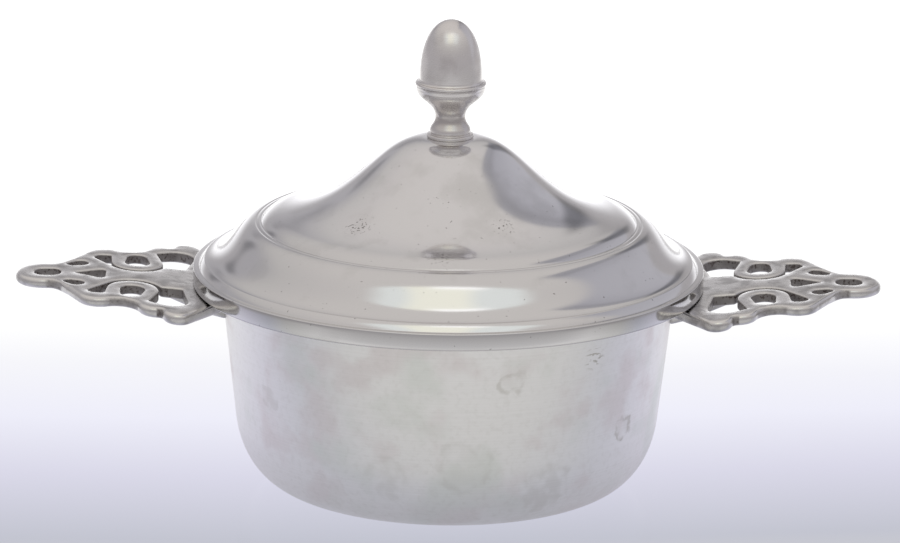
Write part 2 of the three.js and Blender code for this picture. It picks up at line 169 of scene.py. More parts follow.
class EarSizes(PropertyGroup):
    thickness: length("Thickness", "Thickness of the plate", 3.3)
    drop: length("Drop", "Top of the ear below the skirt's edge", 0.45)
    rise: share("Rise", "Rise for its length outwards, at the root", 0.1)
    flattening: length("Flattening", "How far the tip lies below that rise", 3)
    spread: ratio("Spread", "Widths of the plan, against the packed solid", 1.13, 0.5, 2)
    root_thickness: length("Root thickness", "Thickness of the plate beside the bowl", 3.8)
    rounding: length("Rounding", "Radius of the outer edge", 1.25)
    hole_rounding: share("Hole rounding", "Share of that radius round the piercings", 0.4)
    dome: length("Dome", "Width over which a strap is crowned", 1.1)
    grain: length("Grain", "Spacing of points on the faces", 0.5)
    reach: length("Reach", "Tip of the ear out from the skirt", 52.1)
    tip_radius: length("Tip radius", "Round end", 8.3)
    tongue: length("Tongue half width", "Plain tongue between the windows", 9.3)
    volute_radius: length("Volute radius", "Hanging loop", 7.6)
    eye_radius: length("Eye radius", "Hole in that loop", 3.6)
    slot_width: length("Slot width", "Between the loop and the tongue", 1.2)


class Finishes(PropertyGroup):
    bowl: tint("Bowl", "Turned pewter, dulled by handling", "#F1F0EE")
    bowl_warm: tint("Bowl warm patch", "Pinkish film on the bowl", "#EAE5E3")
    bowl_cool: tint("Bowl cool patch", "Greenish film on the bowl", "#E6E8E3")
    bowl_film: tint("Bowl film", "Grey film near the foot, in small flecks and in old stains", "#C2BFB7")
    cover: tint("Cover", "Polished pewter", "#E6E5E5")
    cover_film: tint("Cover film", "Dull film on the cover", "#DAD9D8")
    # band darkening: darker grey just under the bead, and painted shade along the band's free edge
    band_darkening: tint("Cover grime", "Brownish film along the edges of the cover's band", "#BDBBBA")
    pit: tint("Pit", "Dark oxide in the cover's small pits", "#7E7B79")
    knob: tint("Knob", "Turned pewter of the knob", "#E4E1DF")
    knob_film: tint("Knob film", "Brown film in the knob's hollows", "#8F8580")
    ear: tint("Ear", "Cast pewter", "#D0CECC")
    ear_film: tint("Ear film", "Grey film on the cast faces", "#A9A7A6")
    # painted highlight: a lighter colour laid on the ears' upper rounded edges
    ear_highlight: tint("Ear edge", "Rubbed edges of the casting", "#E6E4E1")
    patina: tint("Patina", "Brown oxide inside the piercings", "#3B2C27")
    steel: tint("Steel", "Washer and screw", "#B9BBBE")


class Studio(PropertyGroup):
    distance: length("Camera distance", "From the middle of the cover's edge", 2000)
    elevation: bearing("Camera elevation", "Above the horizon", 15.3)
    roll: bearing("Camera roll", "Lowers the right side of the picture", 0.75)
    lens: FloatProperty(name="Lens", description="Focal length", default=272.1, min=10, unit="CAMERA")
    floor_half: length("Floor half width", "Half the side of the floor", 6000)
    tent: ratio("Tent strength", "Brightness of the tent's walls", 1.27, 0, 10)


# Profiles and surfaces

def bezier(a, b, c, d, steps=24):
    """A cubic curve: the four corner points weighed by (1-t)^3, 3t(1-t)^2, 3t^2(1-t) and t^3."""
    t = np.linspace(0, 1, steps + 1)[:, None]
    a, b, c, d = (np.asarray(p, float) for p in (a, b, c, d))
    return (1 - t) ** 3 * a + 3 * t * (1 - t) ** 2 * b + 3 * t ** 2 * (1 - t) * c + t ** 3 * d


def arc(centre, radius, start, end, steps=8):
    """Points of a circle about a centre, angles in degrees."""
    angle = np.radians(np.linspace(start, end, steps + 1))
    return np.asarray(centre) + radius * np.stack([np.cos(angle), np.sin(angle)], 1)


def cornered(start, corner, end):
    """A parabola from start to end that heads for the corner and leaves from it."""
    return bezier(start, (start + 2 * corner) / 3, (end + 2 * corner) / 3, end, steps=8)


def chain(*parts):
    """Parts of a profile in one line, with repeated points left out."""
    points = np.vstack([np.atleast_2d(p) for p in parts])
    kept = np.ones(len(points), bool)
    kept[1:] = np.linalg.norm(np.diff(points, axis=0), axis=1) > 1e-7
    return points[kept]


def filled(points, spacing):
    """A line with its long stretches divided, so that no two points are further apart than the spacing."""
    gap = np.linalg.norm(np.diff(points, axis=0), axis=1)
    counts = np.maximum(np.ceil(gap / spacing).astype(int), 1)
    starts = np.repeat(np.arange(len(counts)), counts)
    within = np.arange(counts.sum()) - np.repeat(np.cumsum(counts) - counts, counts)
    t = (within / np.repeat(counts, counts))[:, None]
    return np.vstack([points[starts] * (1 - t) + points[starts + 1] * t, points[-1:]])


def softened(corners, radius, steps=4, closed=False):
    """Corners cut by a parabola: each starts and ends one radius, or under half a side, away from its corner."""
    corners = np.asarray(corners, float)
    before, after = np.roll(corners, 1, 0), np.roll(corners, -1, 0)
    if not closed:
        before[0], after[-1] = corners[0], corners[-1]
    to_before, to_after = before - corners, after - corners
    length_before = np.linalg.norm(to_before, axis=1, keepdims=True)
    length_after = np.linalg.norm(to_after, axis=1, keepdims=True)
    cut = np.minimum(radius, 0.48 * np.minimum(length_before, length_after))
    start = corners + to_before / np.maximum(length_before, 1e-12) * cut
    end = corners + to_after / np.maximum(length_after, 1e-12) * cut
    t = np.linspace(0, 1, steps + 1)[None, :, None]
    curve = (1 - t) ** 2 * start[:, None] + 2 * t * (1 - t) * corners[:, None] + t ** 2 * end[:, None]
    line = curve.reshape(-1, 2)
    return chain(line, line[:1]) if closed else chain(line)


def offset(points, distance):
    """A line moved to the left of its direction, by a distance at right angles to it."""
    direction = np.gradient(points, axis=0)
    direction /= np.linalg.norm(direction, axis=1, keepdims=True)
    return points + distance * np.stack([-direction[:, 1], direction[:, 0]], 1)


def new_piece(name, points, faces, material, values=None):
    """A smooth mesh object from points and faces, with one named attribute for each array of values."""
    mesh = bpy.data.meshes.new(name)
    mesh.from_pydata(points.tolist(), [], faces)
    mesh.shade_smooth()
    for label, array in (values or {}).items():
        kind = "FLOAT_VECTOR" if array.ndim == 2 else "FLOAT"
        attribute = mesh.attributes.new(label, kind, "POINT")
        attribute.data.foreach_set("vector" if array.ndim == 2 else "value", array.astype(np.float32).ravel())
    mesh.materials.append(material)
    mesh.update()
    piece = bpy.data.objects.new(name, mesh)
    bpy.context.scene.collection.objects.link(piece)
    return piece


LATHE_REACH = 4 * MM  # radius at which the lathe attribute runs round the axis


def turned(name, profile, segments, material):
    """A surface of revolution: a profile point at radius r and height z goes to (r cos a, r sin a, z).

    The profile runs up the outside and down the inside. It starts and ends on the axis, or ends where it starts.
    The lathe attribute holds (cos a, sin a) times a short reach, and the distance along the profile.
    """
    closed = np.allclose(profile[0], profile[-1])
    travel = np.concatenate([[0], np.cumsum(np.linalg.norm(np.diff(profile, axis=0), axis=1))])
    rows = np.arange(len(profile))[:-1] if closed else np.arange(len(profile))[1:-1]
    angle = np.arange(segments) * 2 * np.pi / segments
    cosine, sine = np.cos(angle)[None], np.sin(angle)[None]
    radius, height = profile[rows, 0][:, None], profile[rows, 1][:, None]
    grid = np.stack([radius * cosine, radius * sine, height + 0 * cosine], -1).reshape(-1, 3)
    lathe = np.stack([LATHE_REACH * cosine + 0 * radius, LATHE_REACH * sine + 0 * radius,
                      travel[rows][:, None] + 0 * cosine], -1).reshape(-1, 3)
    column = np.arange(segments)
    following = (column + 1) % segments
    low = (np.arange(len(rows) if closed else len(rows) - 1) * segments)[:, None]
    high = (low + segments) % (len(rows) * segments)
    quads = np.stack([low + column, low + following, high + following, high + column], -1).reshape(-1, 4)
    faces = quads.tolist()
    if not closed:
        first, last = len(grid), len(grid) + 1
        top = (len(rows) - 1) * segments
        grid = np.vstack([grid, [[0, 0, profile[0, 1]], [0, 0, profile[-1, 1]]]])
        lathe = np.vstack([lathe, [[0, 0, travel[0]], [0, 0, travel[-1]]]])
        faces += np.stack([np.full(segments, first), following, column], -1).tolist()
        faces += np.stack([np.full(segments, last), top + column, top + following], -1).tolist()
    return new_piece(name, grid, faces, material, {"lathe": lathe})


# Profiles of the turned pieces, radius and height

def bowl_profile(sizes):
    """Flat base, superellipse corner (w, h) = (sin^(2/p) a, 1 - cos^(2/p) a) and straight wall, all leaning out at one
    rate, then the half-round lip and the inside, one wall's thickness in."""
    power = 2 / sizes.corner_power
    width = sizes.mouth_radius - sizes.wall_lean * RIM_PLANE - sizes.base_radius
    angle = np.linspace(0, np.pi / 2, 49)
    height = sizes.corner_height * (1 - np.cos(angle).clip(0) ** power)
    corner = np.stack([sizes.base_radius + width * np.sin(angle) ** power + sizes.wall_lean * height, height], 1)
    wall_top = np.array([[sizes.mouth_radius, RIM_PLANE]])
    lip = sizes.lip_thickness / 2
    under = RIM_PLANE - sizes.lip_thickness
    wall_foot = [sizes.mouth_radius - sizes.wall_lean * (RIM_PLANE - under), under]
    lip_centre = [sizes.mouth_radius + sizes.lip_width - lip, RIM_PLANE - lip]
    soft = 0.5 * MM
    below_lip = softened([corner[-1], wall_foot, [lip_centre[0], under]], soft)
    outside = filled(chain([0, 0], corner[:-1], below_lip), STRETCH)
    inside = offset(filled(chain([[0, 0]], corner, wall_top), STRETCH), sizes.wall)[::-1]
    inside[0, 1] = RIM_PLANE
    inside[-1, 0] = 0
    edge = softened([[lip_centre[0], RIM_PLANE], inside[0], inside[1]], soft)
    return chain(outside, arc(lip_centre, lip, -90, 90), edge, inside[2:])


def crown_line(sizes):
    """The dome, flattening into a shelf that falls gently, and the shelf's edge rolling over to its groove: two cubic
    curves that share the shelf's direction where they meet."""
    shelf = np.array([sizes.shelf_radius, sizes.shelf_height])
    outwards = np.array([1, -sizes.shelf_fall])
    dome = bezier([sizes.crown_flat, sizes.crown_height], [sizes.crown_flat + sizes.crown_swell, sizes.crown_height],
                  shelf - sizes.shelf_pull * outwards, shelf, steps=72)
    edge = np.array([sizes.groove_radius - 0.3 * MM, sizes.groove_height + 0.35 * MM])
    level, steep = 3 * MM * outwards, [-1 * MM, 0.9 * MM]
    roll = bezier(shelf, shelf + level, edge + steep, edge, steps=20)
    return chain(dome, roll)


def ogee_line(sizes):
    """The convex roll and the cove below it: one cubic curve that leaves nearly level and ends level."""
    start = np.array([sizes.shoulder_radius + 0.4 * MM, sizes.shoulder_height + 0.06 * MM])
    end = np.array([sizes.ogee_radius, sizes.ogee_height])
    leaving = start + [sizes.ogee_roll, -sizes.ogee_roll / 10]
    return bezier(start, leaving, end - [sizes.ogee_cove, 0], end, steps=60)


def cover_profile(sizes, bore):
    """Dome and shelf, two fine grooves with a ridge between, roll and cove, sloping bead, ledge and upright skirt, then
    the inside with its step."""
    groove_rounding, band_rounding = 0.25 * MM, 0.3 * MM
    crown, ogee = crown_line(sizes), ogee_line(sizes)
    ridge = [(sizes.groove_radius + sizes.shoulder_radius) / 2, sizes.groove_height + 0.05 * MM]
    grooves = softened([
        crown[-1], [sizes.groove_radius, sizes.groove_height], ridge,
        [sizes.shoulder_radius, sizes.shoulder_height], ogee[0], ogee[1]], groove_rounding)
    foot = np.array([sizes.bead_radius, sizes.skirt_height + 0.1 * MM])
    bead = bezier(ogee[-1], ogee[-1] + [0.55 * MM, -0.5 * MM], foot + [-0.45 * MM, 0.8 * MM], foot, steps=12)
    skirt_inside = sizes.skirt_radius - sizes.skirt_wall
    skirt = softened([
        bead[-2], foot, [sizes.skirt_radius, sizes.skirt_height], [sizes.skirt_radius, 0], [skirt_inside, 0],
        [skirt_inside, sizes.step_depth], [sizes.step_radius, sizes.step_depth],
        [sizes.step_radius, sizes.ogee_height - sizes.wall]], band_rounding)
    outside = chain([[bore, sizes.crown_height]], crown[:-1], grooves, ogee[2:], bead[1:-2])
    under = offset(filled(chain([[bore, sizes.crown_height]], crown, ogee), STRETCH), -sizes.wall)
    under = under[(under[:, 0] < sizes.step_radius) & (under[:, 1] > sizes.ogee_height - sizes.wall)]
    line = filled(chain(outside, skirt), STRETCH)
    ring = chain(line, under[::-1], line[:1])[::-1]
    return ring + [0, SKIRT_PLANE]


def ring_profile(sizes, bowl, seat, slide):
    """Flange that rests on the lip, and collar that drops into the mouth."""
    foot = RIM_PLANE - sizes.ring_depth
    collar = bowl.mouth_radius - bowl.wall_lean * sizes.ring_depth - bowl.wall * math.hypot(1, bowl.wall_lean) - slide
    outer = sizes.skirt_radius - sizes.skirt_wall - seat
    low = RIM_PLANE + seat
    corners = [
        [collar - sizes.ring_collar, foot], [collar - sizes.ring_collar / 3, foot],
        [collar, foot + sizes.ring_collar / 2], [collar, low], [outer, low],
        [outer, low + sizes.ring_flange], [collar - sizes.ring_collar, low + sizes.ring_flange]]
    return filled(softened(corners, 0.3 * MM, closed=True), 1.5 * MM)


def knob_profile(sizes, base):
    """Foot ring, bulb, neck, flaring cup with its ring, and the acorn, heights from the top of the cover."""
    ring = sizes.cup_ring / 2
    ring_height = (sizes.cup_height + sizes.acorn_base) / 2 + ring / 2
    acorn = sizes.height - sizes.acorn_base
    sunk = -0.02 * MM
    bulb, neck = [sizes.bulb_radius, sizes.bulb_height], [sizes.neck_radius, sizes.neck_height]
    foot = softened([
        [0, sunk], [sizes.foot_radius, sunk], [sizes.foot_radius, sizes.foot_height],
        [sizes.bulb_radius - 0.25 * MM, sizes.foot_height + 0.1 * MM], bulb], 0.35 * MM)
    waist = bezier(bulb, [bulb[0], bulb[1] + sizes.bulb_swell], [neck[0], neck[1] - sizes.neck_pull], neck,
                   steps=20)
    cup = bezier(neck, [neck[0], neck[1] + sizes.cup_pull],
                 [sizes.cup_radius - 0.3 * MM, sizes.cup_height - sizes.cup_flare],
                 [sizes.cup_radius, sizes.cup_height], steps=28)
    rim = arc([sizes.cup_ring_radius - ring, ring_height], ring, -75, 100, steps=14)
    nut = bezier([sizes.acorn_radius, sizes.acorn_base],
                 [sizes.acorn_radius, sizes.acorn_base + sizes.acorn_fullness * acorn],
                 [sizes.acorn_bluntness * sizes.acorn_radius, sizes.height], [0, sizes.height], steps=56)
    return chain(filled(foot, 0.8 * MM), waist[1:], cup[1:], rim, nut) + [0, base]


# Plan of an ear, stations out from the skirt and widths across its centre line

def belt(circles):
    """A closed anticlockwise line drawn round circles. A circle is x, y, radius and turn, LOBE or HOLLOW. Each stretch
    between two is their common tangent."""
    circles = np.asarray(circles, float)
    x, y, radius, turn = circles.T
    following = np.roll(circles, -1, 0)
    apart = following[:, :2] - circles[:, :2]
    slant = (turn * radius - following[:, 3] * following[:, 2]) / np.linalg.norm(apart, axis=1)
    leave = np.arctan2(apart[:, 1], apart[:, 0]) - np.arccos(slant.clip(-1, 1))
    arrive = np.roll(leave, 1)
    sweep = turn * (np.mod(turn * (leave - arrive) + np.pi / 2, 2 * np.pi) - np.pi / 2)
    t = np.linspace(0, 1, 41)[None]
    angle = arrive[:, None] + sweep[:, None] * t
    reach = (turn * radius)[:, None]
    return np.stack([x[:, None] + reach * np.cos(angle), y[:, None] + reach * np.sin(angle)], -1).reshape(-1, 2)


def hollow(start, end, radius):
    """The hollow between two lobes: a circle that touches both, on the right of the way from one to the other."""
    (from_x, from_y, from_radius), (to_x, to_y, to_radius) = start[:3], end[:3]
    apart = math.hypot(to_x - from_x, to_y - from_y)
    near, far = from_radius + radius, to_radius + radius
    ahead = (near ** 2 - far ** 2 + apart ** 2) / (2 * apart)
    aside = math.sqrt(max(near ** 2 - ahead ** 2, 0))
    x, y = (to_x - from_x) / apart, (to_y - from_y) / apart
    return [from_x + x * ahead + y * aside, from_y + y * ahead - x * aside, radius, HOLLOW]


def mirrored(circles):
    """The same circles on the other side of the centre line, in the order that keeps the line's direction."""
    return [[x, -y, radius, turn] for x, y, radius, turn in circles[::-1]]


def spaced(loop, spacing):
    """A closed line with its points evenly apart."""
    ring = chain(loop, loop[:1])
    travel = np.concatenate([[0], np.cumsum(np.linalg.norm(np.diff(ring, axis=0), axis=1))])
    at = np.linspace(0, travel[-1], max(int(round(travel[-1] / spacing)), 12), endpoint=False)
    return np.stack([np.interp(at, travel, ring[:, 0]), np.interp(at, travel, ring[:, 1])], 1)


def ear_outline(sizes):
    """Lobes and hollows from the tip to the root, and back on the other side."""
    tip = [sizes.reach / MM - sizes.tip_radius / MM, 0, sizes.tip_radius / MM, LOBE]
    bud = [34.4, 9.3, 4, LOBE]
    side_lobe = [26.8, 18.2, 6.4, LOBE]
    inner_lobe = [10.2, 25.2, 4.8, LOBE]
    shoulder = [3.2, 30.2, 4.4, LOBE]
    root = [-14, 13, 1, LOBE]
    side = [hollow(tip, bud, 5), bud, side_lobe, hollow(side_lobe, inner_lobe, 6.2), inner_lobe,
            hollow(inner_lobe, shoulder, 1.2), shoulder, root]
    return belt([tip, *side, *mirrored(side)]) * [MM, sizes.spread * MM]


def ear_holes(sizes):
    """Window with its slot and comma, eye of the loop and almond on each side, then the teardrop and the tip hole."""
    station, across, radius = 17.1, 13.1, sizes.volute_radius / MM
    slot = radius + sizes.slot_width / MM
    tongue = sizes.tongue / MM
    top, sharp = 26.2, 0.8
    corner_station = station - math.sqrt((slot + 1) ** 2 - (across - tongue + 1) ** 2)
    window = belt([
        [3.4, tongue + sharp, sharp, LOBE], [corner_station, tongue - 1, 1, HOLLOW], [station, across, slot, LOBE],
        [station + slot + 1.7, 16.3, 2.3, LOBE], [station + slot, 17.8, sharp, LOBE],
        [station, across, radius, HOLLOW], [11, top - 3.2, sharp, LOBE], [5.6, top - 5, 5, LOBE]])
    eye_radius = sizes.eye_radius / MM
    eye = belt([[station, across, eye_radius, LOBE], [station + 0.3, across + 4.2, eye_radius - 0.6, LOBE]])
    almond = belt([[33.7, 9.65, 2.3, LOBE], [36, 8.4, 1.6, LOBE]])
    teardrop = belt([[27.2, 2.6, 1.4, LOBE], [27.2, -2.6, 1.4, LOBE], [34, 0, 0.5, LOBE]])
    tip = belt([[43.8, 0.5, 2.8, LOBE], [41.7, 0.5, 2.8, LOBE], [41.7, -0.5, 2.8, LOBE], [43.8, -0.5, 2.8, LOBE]])
    sided = [loop * [1, side] for loop in (window, eye, almond) for side in (1, -1)]
    return [loop * [MM, sizes.spread * MM] for loop in (*sided, teardrop, tip)]


def wound(loop, anticlockwise):
    """The loop in the wanted direction."""
    following = np.roll(loop, -1, 0)
    area = (loop[:, 0] * following[:, 1] - following[:, 0] * loop[:, 1]).sum()
    return loop if (area > 0) == anticlockwise else loop[::-1]


def in_chunks(function, points, starts, ends, size=1500):
    """A function of points and sides, worked out for some points at a time, which keeps its arrays small."""
    return np.concatenate([function(points[i:i + size], starts, ends) for i in range(0, len(points), size)])


def distances(points, starts, ends):
    """Distance from each point to the nearest of the sides."""
    side = ends - starts
    away = points[:, None] - starts[None]
    t = ((away * side).sum(-1) / np.maximum((side ** 2).sum(-1), 1e-18)).clip(0, 1)
    return np.linalg.norm(away - t[..., None] * side, axis=-1).min(1)


def enclosed(points, starts, ends):
    """Whether a line drawn from each point along X crosses the sides an odd number of times."""
    y = points[:, 1:2]
    crosses = (starts[:, 1] > y) != (ends[:, 1] > y)
    rise = ends[:, 1] - starts[:, 1]
    at = starts[:, 0] + (y - starts[:, 1]) / np.where(rise == 0, 1e-12, rise) * (ends[:, 0] - starts[:, 0])
    return (crosses & (points[:, :1] < at)).sum(1) % 2 == 1


def staggered_grid(low, high, grain):
    """Points in rows, every second row moved by half a grain, so that they make even triangles."""
    across = np.arange(low[0], high[0], grain)
    along = np.arange(low[1], high[1], grain * math.sqrt(3) / 2)
    x, y = np.meshgrid(across, along)
    x = x + np.where(np.arange(len(along)) % 2, grain / 2, 0)[:, None]
    return np.stack([x.ravel(), y.ravel()], 1)


def slab(loops, thickness, rounding, grain, dome, hole_rounding=1):
    """A plate with round edges, its plan given by loops that keep the metal on their left.

    Every edge is a profile carried along its loop: a point at angle b of the round lies in by r (1 - cos b) and down
    by r (1 - sin b). The faces are triangles between a grid of points, and they rise from the rounds towards the
    middle of each strap by w tan(10 degrees) (1 - e^(-d/w)), where d is the distance to the nearest edge.
    Returns points, faces and, for each point, the number of its loop, or -1 on a face. A round takes at most 0.4 of
    the way to the next loop.
    """
    tilt = math.radians(80)
    rise = math.tan(math.pi / 2 - tilt) * dome
    turn = np.linspace(tilt, 0, 7)
    turn = np.concatenate([turn, -turn[::-1]])
    rows = len(turn)
    above = (np.arange(rows) < rows // 2)[:, None]
    starts = np.vstack(loops)
    ends = np.vstack([np.roll(loop, -1, 0) for loop in loops])
    whose = np.repeat(np.arange(len(loops)), [len(loop) for loop in loops])
    rings, faces, upper, sides = [], [], [], []
    start = rim = 0
    for number, loop in enumerate(loops):
        count = len(loop)
        way = np.roll(loop, -1, 0) - np.roll(loop, 1, 0)
        way /= np.linalg.norm(way, axis=1, keepdims=True)
        inward = np.stack([-way[:, 1], way[:, 0]], 1)
        radius = np.full(count, rounding * (hole_rounding if number else 1))
        if len(loops) > 1:
            other = whose != number
            radius = np.minimum(radius, 0.4 * in_chunks(distances, loop, starts[other], ends[other]))
        inset = radius * (1 - np.cos(turn))[:, None]
        down = rise + radius * (1 - np.sin(np.abs(turn)))[:, None]
        depth = np.where(above, down, thickness - down)
        plan = loop[None] + inset[..., None] * inward[None]
        rings.append(np.concatenate([plan, -depth[..., None]], -1).reshape(-1, 3))
        column = np.arange(count)
        following = (column + 1) % count
        low = start + (np.arange(rows - 1) * count)[:, None]
        quads = np.stack([low + column, low + count + column, low + count + following, low + following], -1)
        faces += quads.reshape(-1, 4).tolist()
        upper.append(start + column)
        sides += zip((rim + column).tolist(), (rim + following).tolist())
        start += rows * count
        rim += count

    edge = np.vstack(rings)
    top_ring = np.concatenate(upper)
    lip = rounding * (1 - math.cos(tilt))
    margin = lip + 0.6 * grain
    grid = staggered_grid(starts.min(0), starts.max(0), grain)
    away = in_chunks(distances, grid, starts, ends)
    keep = away > margin
    grid, away = grid[keep], away[keep]
    keep = in_chunks(enclosed, grid, starts, ends)
    grid, away = grid[keep], away[keep]
    flat = np.vstack([edge[top_ring, :2], grid])
    made = delaunay_2d_cdt([Vector(p) for p in flat], sides, [], 0, 1e-9)
    if len(made[0]) != len(flat):
        raise RuntimeError(f"the ear's plan crosses itself at {[tuple(p) for p in made[0][len(flat):]]}")
    triangles = np.array(made[2])
    first, second = np.array(sides).T
    triangles = triangles[in_chunks(enclosed, flat[triangles].mean(1), flat[first], flat[second])]

    # the faces' heights are evened out between neighbours, and their rims stay
    height = np.concatenate([np.full(rim, -rise), -rise * np.exp(-(away - lip) / dome)])
    first, second = np.vstack([triangles[:, [0, 1]], triangles[:, [1, 2]], triangles[:, [2, 0]]]).T
    neighbours = np.bincount(np.concatenate([first, second]), minlength=len(flat)).clip(1)
    for _ in range(3):
        near = np.bincount(first, height[second], len(flat)) + np.bincount(second, height[first], len(flat))
        height[rim:] = (0.5 * height + 0.5 * near / neighbours)[rim:]
    inner = height[rim:]
    lower_ring = np.concatenate([ring + (rows - 1) * len(ring) for ring in upper])
    upper_index = np.concatenate([top_ring, start + np.arange(len(grid))])
    lower_index = np.concatenate([lower_ring, start + len(grid) + np.arange(len(grid))])
    faces += upper_index[triangles].tolist() + lower_index[triangles[:, ::-1]].tolist()
    points = np.vstack([edge, np.column_stack([grid, inner]), np.column_stack([grid, -thickness - inner])])
    owner = np.concatenate([np.repeat(np.arange(len(loops)), [rows * len(ring) for ring in upper]),
                            np.full(2 * len(grid), -1)])
    return points, faces, owner


def ear_loops(sizes, root, skirt_radius):
    """The outline, cut by a circle of radius root about the bowl's axis and softened at the two corners, and then the
    piercings. The outline runs anticlockwise and the piercings clockwise."""
    cut, fine, coarse = 2 * MM, 0.4 * MM, 0.45 * MM
    outline = spaced(ear_outline(sizes), fine)
    outline = outline[np.hypot(outline[:, 0] + skirt_radius, outline[:, 1]) > root]
    gap = np.linalg.norm(np.roll(outline, -1, 0) - outline, axis=1).argmax()
    outline = np.roll(outline, -gap - 1, 0)
    first, last = outline[0], outline[-1]
    ends = [math.degrees(math.atan2(corner[1], corner[0] + skirt_radius)) for corner in (last, first)]
    curve = arc([-skirt_radius, 0], root, *ends, steps=120)
    outline, curve = (line[(np.linalg.norm(line - first, axis=1) > cut) & (np.linalg.norm(line - last, axis=1) > cut)]
                      for line in (outline, curve))
    outline = spaced(chain(outline, cornered(outline[-1], last, curve[0]), curve,
                           cornered(curve[-1], first, outline[0])), coarse)
    return [wound(outline, True)] + [wound(spaced(loop, fine), False) for loop in ear_holes(sizes)]


def ear_bracket(sizes, inner, skirt_radius):
    """The wedge under the root: a slab drawn in side view, laid across the ear and narrower towards its outer end."""
    buried = sizes.drop + sizes.thickness / 2
    side = softened(np.array([
        [inner, -buried], [inner, -10.1 * MM], [-4 * MM, -8.8 * MM],
        [9 * MM, -sizes.drop - sizes.thickness], [9 * MM, -buried]]), 1.2 * MM, closed=True)
    half = 8.6 * MM
    plan = wound(spaced(side, 0.5 * MM), True)
    points, faces, _ = slab([plan], 2 * half, rounding=0.7 * MM, grain=0.8 * MM, dome=0.8 * MM)
    taper = 1 - 0.02 * (points[:, 0] - inner) / MM
    across = -(points[:, 2] + half) * taper
    return np.stack([points[:, 0] + skirt_radius, across, points[:, 1] + SKIRT_PLANE], 1), faces


def reached(values, start, width):
    """0 up to the start, rising evenly to 1 over the width."""
    return ((values - start) / width).clip(0, 1)


def ear_mesh(sizes, bowl, skirt_radius):
    """The pierced plate, its root following the bowl's wall, with the wedge bracket under it.

    At a distance s out of the skirt the plate's top lies at a s - b s^2, and it thickens towards the root by a smooth
    step. Returns points, faces, the patina, which is 1 on the walls of the piercings and less in pinched hollows of the
    outline, and the wear and highlight mask, which is 1 on the upper rounds: the material makes them smoother and
    paints them lighter as a highlight.
    """
    sunk_in_wall, bracket_sunk = 1 * MM, 1.1 * MM
    root = bowl.mouth_radius - sunk_in_wall
    loops = ear_loops(sizes, root, skirt_radius)
    points, faces, owner = slab(loops, sizes.thickness, sizes.rounding, sizes.grain, sizes.dome, sizes.hole_rounding)
    depth = -points[:, 2]
    wall = reached(depth, 0.25 * MM, 0.4 * MM) * reached(sizes.thickness - depth, 0.2 * MM, 0.6 * MM)
    patina = np.where(owner > 0, wall, 0)
    goes = np.roll(loops[0], -2, 0) - loops[0]
    came = loops[0] - np.roll(loops[0], 2, 0)
    turning = came[:, 0] * goes[:, 1] - came[:, 1] * goes[:, 0]
    turning = turning / (np.linalg.norm(came, axis=1) * np.linalg.norm(goes, axis=1))
    pinched = (-4 * turning).clip(0, 1)  # 1 where a hollow's radius is under 3.6 mm
    outer = owner == 0
    patina[outer] = np.resize(pinched, outer.sum()) * wall[outer] * 0.8
    # 1 on the upper rounds, which the material paints lighter as a highlight and makes smoother
    wear_and_highlight = np.where(owner >= 0, 1 - reached(depth, 0.4 * MM, 0.8 * MM), 0)

    out = points[:, 0].clip(0)
    near = reached(20 * MM - points[:, 0], 0, 18 * MM)
    thicker = 1 + (sizes.root_thickness / sizes.thickness - 1) * near ** 2 * (3 - 2 * near)
    z = points[:, 2] * thicker + sizes.rise * out - sizes.flattening * (out / sizes.reach) ** 2
    plate = np.stack([points[:, 0] + skirt_radius, points[:, 1], z + SKIRT_PLANE - sizes.drop], 1)
    bracket, bracket_faces = ear_bracket(sizes, root - skirt_radius - bracket_sunk, skirt_radius)
    faces = faces + [[len(plate) + i for i in face] for face in bracket_faces]
    clean = np.zeros(len(bracket))
    return np.vstack([plate, bracket]), faces, np.concatenate([patina, clean]), np.concatenate([wear_and_highlight, clean])


# Materials

SMOOTH = {"interpolation_type": "SMOOTHSTEP"}


def add(tree, kind, *values, sockets=None, **settings):
    """A shader node with its settings. The values go to its open inputs in order, those in sockets to inputs by name.
    A socket is linked, and so is a node, by its first open output."""
    node = tree.nodes.new("ShaderNode" + kind)
    for key, value in settings.items():
        setattr(node, key, value)
    pairs = list(zip([socket for socket in node.inputs if socket.enabled], values))
    pairs += [(node.inputs[key], value) for key, value in (sockets or {}).items()]
    for socket, value in pairs:
        if isinstance(value, bpy.types.Node):
            value = next(output for output in value.outputs if output.enabled)
        if isinstance(value, bpy.types.NodeSocket):
            tree.links.new(value, socket)
        else:
            socket.default_value = (*value, 1) if socket.type == "RGBA" else value
    return node


def bare(blocks, name, place="Object"):
    """A new material or world, its tree, and the place or direction that its patterns read."""
    block = blocks.new(name)
    block.use_nodes = True
    tree = block.node_tree
    tree.nodes.clear()
    return block, tree, add(tree, "TexCoord").outputs[place]


def metal(material, colour, roughness, relief=None, strength=0.0, depth=0.0, metallic=1.0):
    """The material with a metal's shader, its bump read from the relief, with a strength and a depth in metres."""
    tree = material.node_tree
    sockets = {"Base Color": colour, "Metallic": metallic, "Roughness": roughness}
    if relief is not None:
        sockets["Normal"] = add(tree, "Bump", strength, depth, sockets={"Height": relief})
    add(tree, "OutputMaterial", add(tree, "BsdfPrincipled", sockets=sockets))
    return material


def blotches(tree, vector, size, low, high, detail=3, seed=0.0):
    """Cloudy patches of a real size in metres, 0 below one level of the noise and 1 above the other."""
    placed = add(tree, "Mapping", vector, (seed, -seed, seed))
    noise = add(tree, "TexNoise", placed, 1 / size, detail)
    return add(tree, "MapRange", noise, low, high, **SMOOTH)


def lathe_lines(tree, pitch):
    """Fine rings left by the tool, one every pitch along the profile, wandering slowly round the axis."""
    lathe = add(tree, "Attribute", attribute_name="lathe").outputs["Vector"]
    about_one_cell_round = 40
    scale = (about_one_cell_round, about_one_cell_round, 1 / pitch)
    drawn = add(tree, "Mapping", lathe, sockets={"Scale": scale})
    return add(tree, "TexNoise", drawn, 1.0, 2)


